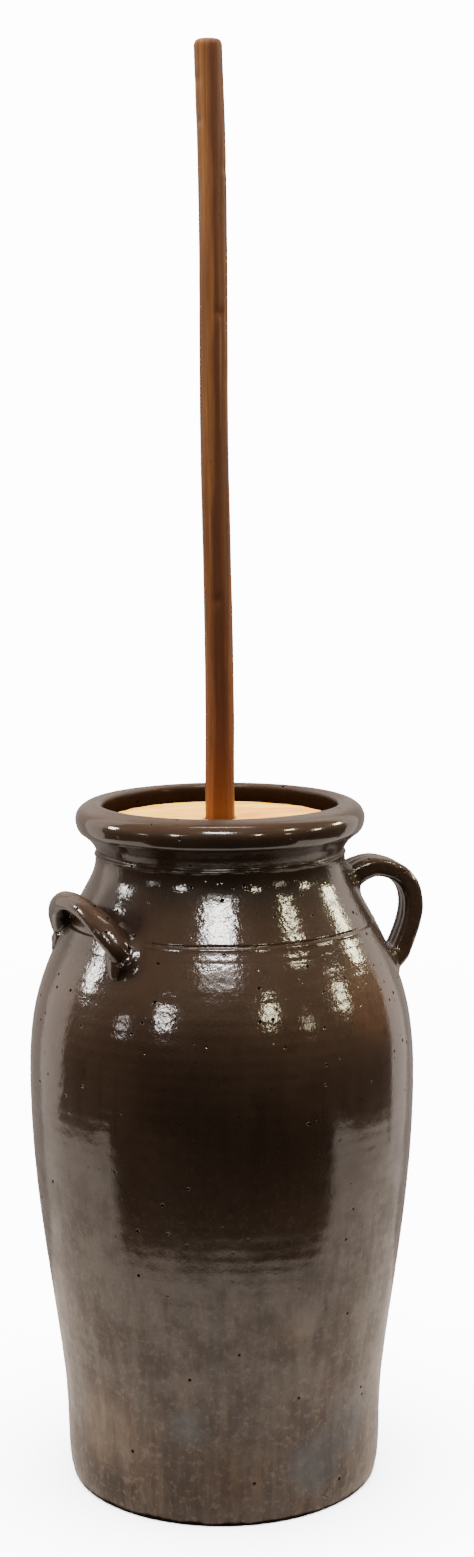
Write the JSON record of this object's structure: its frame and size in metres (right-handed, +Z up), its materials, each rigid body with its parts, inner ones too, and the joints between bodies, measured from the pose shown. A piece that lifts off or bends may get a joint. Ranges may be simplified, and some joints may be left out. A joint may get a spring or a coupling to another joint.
{
  "type": "butter churn",
  "caption": "Stoneware dash churn: shouldered brown-glazed jar with a strap handle and a lug handle, round wooden lid, and a wooden dasher whose long staff passes through the lid.",
  "frame": {"origin": "centre of the jar's flat foot, on the surface it stands on", "axes": "+Z up along the jar and the staff, +X towards the strap handle; the lug handle is near -X"},
  "size_m": [0.295, 0.2836, 1.047],
  "materials": {
    "brown_glaze": "gloss",
    "lid_pine": "satin",
    "staff_wood": "satin",
    "dasher_wood": "satin",
    "nail_iron": "satin"
  },
  "bodies": {
    "jar": {"jar_body": "brown_glaze", "strap_handle": "brown_glaze", "lug_handle": "brown_glaze"},
    "lid": {"lid_disc": "lid_pine", "lid_cleat_front": "lid_pine", "lid_cleat_back": "lid_pine", "lid_nails": "nail_iron"},
    "dasher_core": {"dasher_washer": "nail_iron", "dasher_core_nail": "nail_iron"},
    "dasher": {"dasher_staff": "staff_wood", "dasher_upper_arm": "dasher_wood", "dasher_lower_arm": "dasher_wood", "dasher_lap_nails": "nail_iron"}
  },
  "joints": [
    {"name": "lid_lift", "type": "slide", "parent": "jar", "child": "lid", "axis": [0, 0, 1], "range_m": [0, 0.6]},
    {"name": "dasher_plunge", "type": "slide", "parent": "jar", "child": "dasher_core", "axis": [0, 0, 1], "range_m": [0, 0.4]},
    {"name": "dasher_turn", "type": "hinge", "parent": "dasher_core", "child": "dasher", "pos_m": [0, 0, 0], "axis": [0, 0, 1], "continuous": true}
  ]
}
